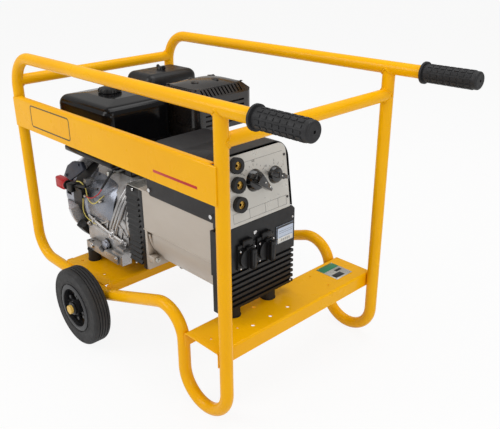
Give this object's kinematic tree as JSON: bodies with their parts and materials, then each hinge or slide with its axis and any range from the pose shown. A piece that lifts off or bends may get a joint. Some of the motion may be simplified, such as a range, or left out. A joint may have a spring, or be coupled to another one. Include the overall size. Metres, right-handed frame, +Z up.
{
  "type": "engine driven welder",
  "caption": "Petrol engine and welding alternator on a wheeled tube frame, with handles, a control panel with welding sockets, and mains outlets under lids.",
  "frame": {"origin": "on the ground, under the middle of the overall box", "axes": "+X towards the handles and the control panel, -Y the side with the long plate, +Z up"},
  "size_m": [1.0821, 0.701, 0.7595],
  "materials": {
    "frame_paint": "gloss",
    "tyre_rubber": "matt",
    "rim_plastic": "matt",
    "cap_plastic": "satin",
    "grip_rubber": "matt",
    "mount_rubber": "matt",
    "cast_aluminium": "cast",
    "housing_aluminium": "satin",
    "black_paint": "satin",
    "silver_paint": "satin",
    "tank_paint": "gloss",
    "box_paint": "satin",
    "panel_paint": "satin",
    "black_plastic": "satin",
    "red_plastic": "gloss",
    "meter_face": "gloss",
    "dark_steel": "matt",
    "zinc_steel": "satin",
    "bright_steel": "polished",
    "cast_iron": "cast",
    "brass": "satin",
    "wire_sheath": "satin"
  },
  "bodies": {
    "machine": {"left_side_loop": "frame_paint", "right_side_loop": "frame_paint", "rear_cross_tube": "frame_paint", "front_cross_tube": "frame_paint", "side_plate": "frame_paint", "rear_deck": "frame_paint", "front_deck": "frame_paint", "axle_brackets": "frame_paint", "axle_stubs": "zinc_steel", "hub_caps": "cap_plastic", "left_grip": "grip_rubber", "right_grip": "grip_rubber", "rubber_mounts": "mount_rubber", "crankcase": "cast_aluminium", "crankcase_cover": "cast_aluminium", "cylinder_block": "cast_aluminium", "cylinder_head": "cast_aluminium", "rocker_cover": "cast_aluminium", "fan_cover": "black_paint", "recoil_cover": "silver_paint", "fuel_tank": "tank_paint", "tank_stays": "black_paint", "air_cleaner_base": "black_plastic", "air_cleaner_cover": "black_plastic", "muffler": "dark_steel", "muffler_cover": "black_paint", "stop_switch": "black_plastic", "oil_alert_unit": "black_plastic", "carburettor": "cast_aluminium", "engine_wires": "wire_sheath", "adapter_cover": "black_plastic", "stator_housing": "housing_aluminium", "stator_core": "dark_steel", "end_cover": "black_plastic", "control_box": "box_paint", "control_panel": "panel_paint", "weld_sockets": "black_plastic", "socket_inserts": "brass", "outlet_bodies": "black_plastic", "hour_meter": "meter_face", "fasteners": "bright_steel"},
    "left_wheel": {"left_tyre": "tyre_rubber", "left_rim": "rim_plastic"},
    "right_wheel": {"right_tyre": "tyre_rubber", "right_rim": "rim_plastic"},
    "engine_shaft": {"crankshaft": "bright_steel", "flywheel": "cast_iron", "rotor": "dark_steel"},
    "starter_handle": {"recoil_handle": "black_plastic"},
    "fuel_cap": {"fuel_cap": "black_plastic"},
    "air_cleaner_knob": {"air_cleaner_knob": "black_plastic"},
    "oil_filler_cap": {"oil_filler_cap": "zinc_steel"},
    "stop_knob": {"stop_knob": "red_plastic"},
    "choke_lever": {"choke_lever": "zinc_steel"},
    "fuel_lever": {"fuel_lever": "zinc_steel"},
    "throttle_lever": {"throttle_lever": "zinc_steel"},
    "current_knob": {"current_knob": "black_plastic"},
    "range_knob": {"range_knob": "black_plastic"},
    "left_outlet_lid": {"left_outlet_lid": "black_plastic"},
    "right_outlet_lid": {"right_outlet_lid": "black_plastic"}
  },
  "joints": [
    {"name": "left_wheel_spin", "type": "hinge", "parent": "machine", "child": "left_wheel", "pos_m": [-0.216, -0.31, 0.108], "axis": [0, 1, 0], "continuous": true},
    {"name": "right_wheel_spin", "type": "hinge", "parent": "machine", "child": "right_wheel", "pos_m": [-0.216, 0.31, 0.108], "axis": [0, 1, 0], "continuous": true},
    {"name": "shaft_spin", "type": "hinge", "parent": "machine", "child": "engine_shaft", "pos_m": [-0.1, -0.072, 0.322], "axis": [1, 0, 0], "continuous": true},
    {"name": "starter_pull", "type": "slide", "parent": "machine", "child": "starter_handle", "axis": [0, 1, 0], "range_m": [0, 0.14], "stiffness_N_per_m": 30, "springref_m": -0.3},
    {"name": "fuel_cap_turn", "type": "hinge", "parent": "machine", "child": "fuel_cap", "pos_m": [-0.312, -0.103, 0.642], "axis": [0, 0, 1], "range_deg": [0, 90]},
    {"name": "air_cleaner_knob_turn", "type": "hinge", "parent": "machine", "child": "air_cleaner_knob", "pos_m": [-0.405, 0.14, 0.657], "axis": [0, 0, 1], "continuous": true},
    {"name": "oil_filler_cap_turn", "type": "hinge", "parent": "machine", "child": "oil_filler_cap", "pos_m": [-0.272, -0.172, 0.227], "axis": [0, -1, 0], "continuous": true},
    {"name": "stop_knob_turn", "type": "hinge", "parent": "machine", "child": "stop_knob", "pos_m": [-0.48, -0.19, 0.362], "axis": [-1, 0, 0], "range_deg": [0, 90]},
    {"name": "choke_swing", "type": "hinge", "parent": "machine", "child": "choke_lever", "pos_m": [-0.386, 0.15, 0.492], "axis": [1, 0, 0], "range_deg": [0, 60]},
    {"name": "fuel_swing", "type": "hinge", "parent": "machine", "child": "fuel_lever", "pos_m": [-0.386, 0.15, 0.464], "axis": [-1, 0, 0], "range_deg": [0, 60]},
    {"name": "throttle_swing", "type": "hinge", "parent": "machine", "child": "throttle_lever", "pos_m": [-0.272, -0.092, 0.427], "axis": [0, 0, 1], "range_deg": [-20, 25]},
    {"name": "current_knob_turn", "type": "hinge", "parent": "machine", "child": "current_knob", "pos_m": [0.21482, -0.076, 0.51957], "axis": [0.9919, 0, 0.1271], "range_deg": [0, 270]},
    {"name": "range_knob_turn", "type": "hinge", "parent": "machine", "child": "range_knob", "pos_m": [0.21482, -0.011, 0.51957], "axis": [0.9919, 0, 0.1271], "range_deg": [-45, 45]},
    {"name": "left_lid_lift", "type": "hinge", "parent": "machine", "child": "left_outlet_lid", "pos_m": [0.239, -0.116, 0.373], "axis": [0, -1, 0], "range_deg": [0, 110], "stiffness_Nm_per_rad": 0.02, "springref_deg": -28.65},
    {"name": "right_lid_lift", "type": "hinge", "parent": "machine", "child": "right_outlet_lid", "pos_m": [0.239, -0.055, 0.373], "axis": [0, -1, 0], "range_deg": [0, 110], "stiffness_Nm_per_rad": 0.02, "springref_deg": -28.65}
  ]
}
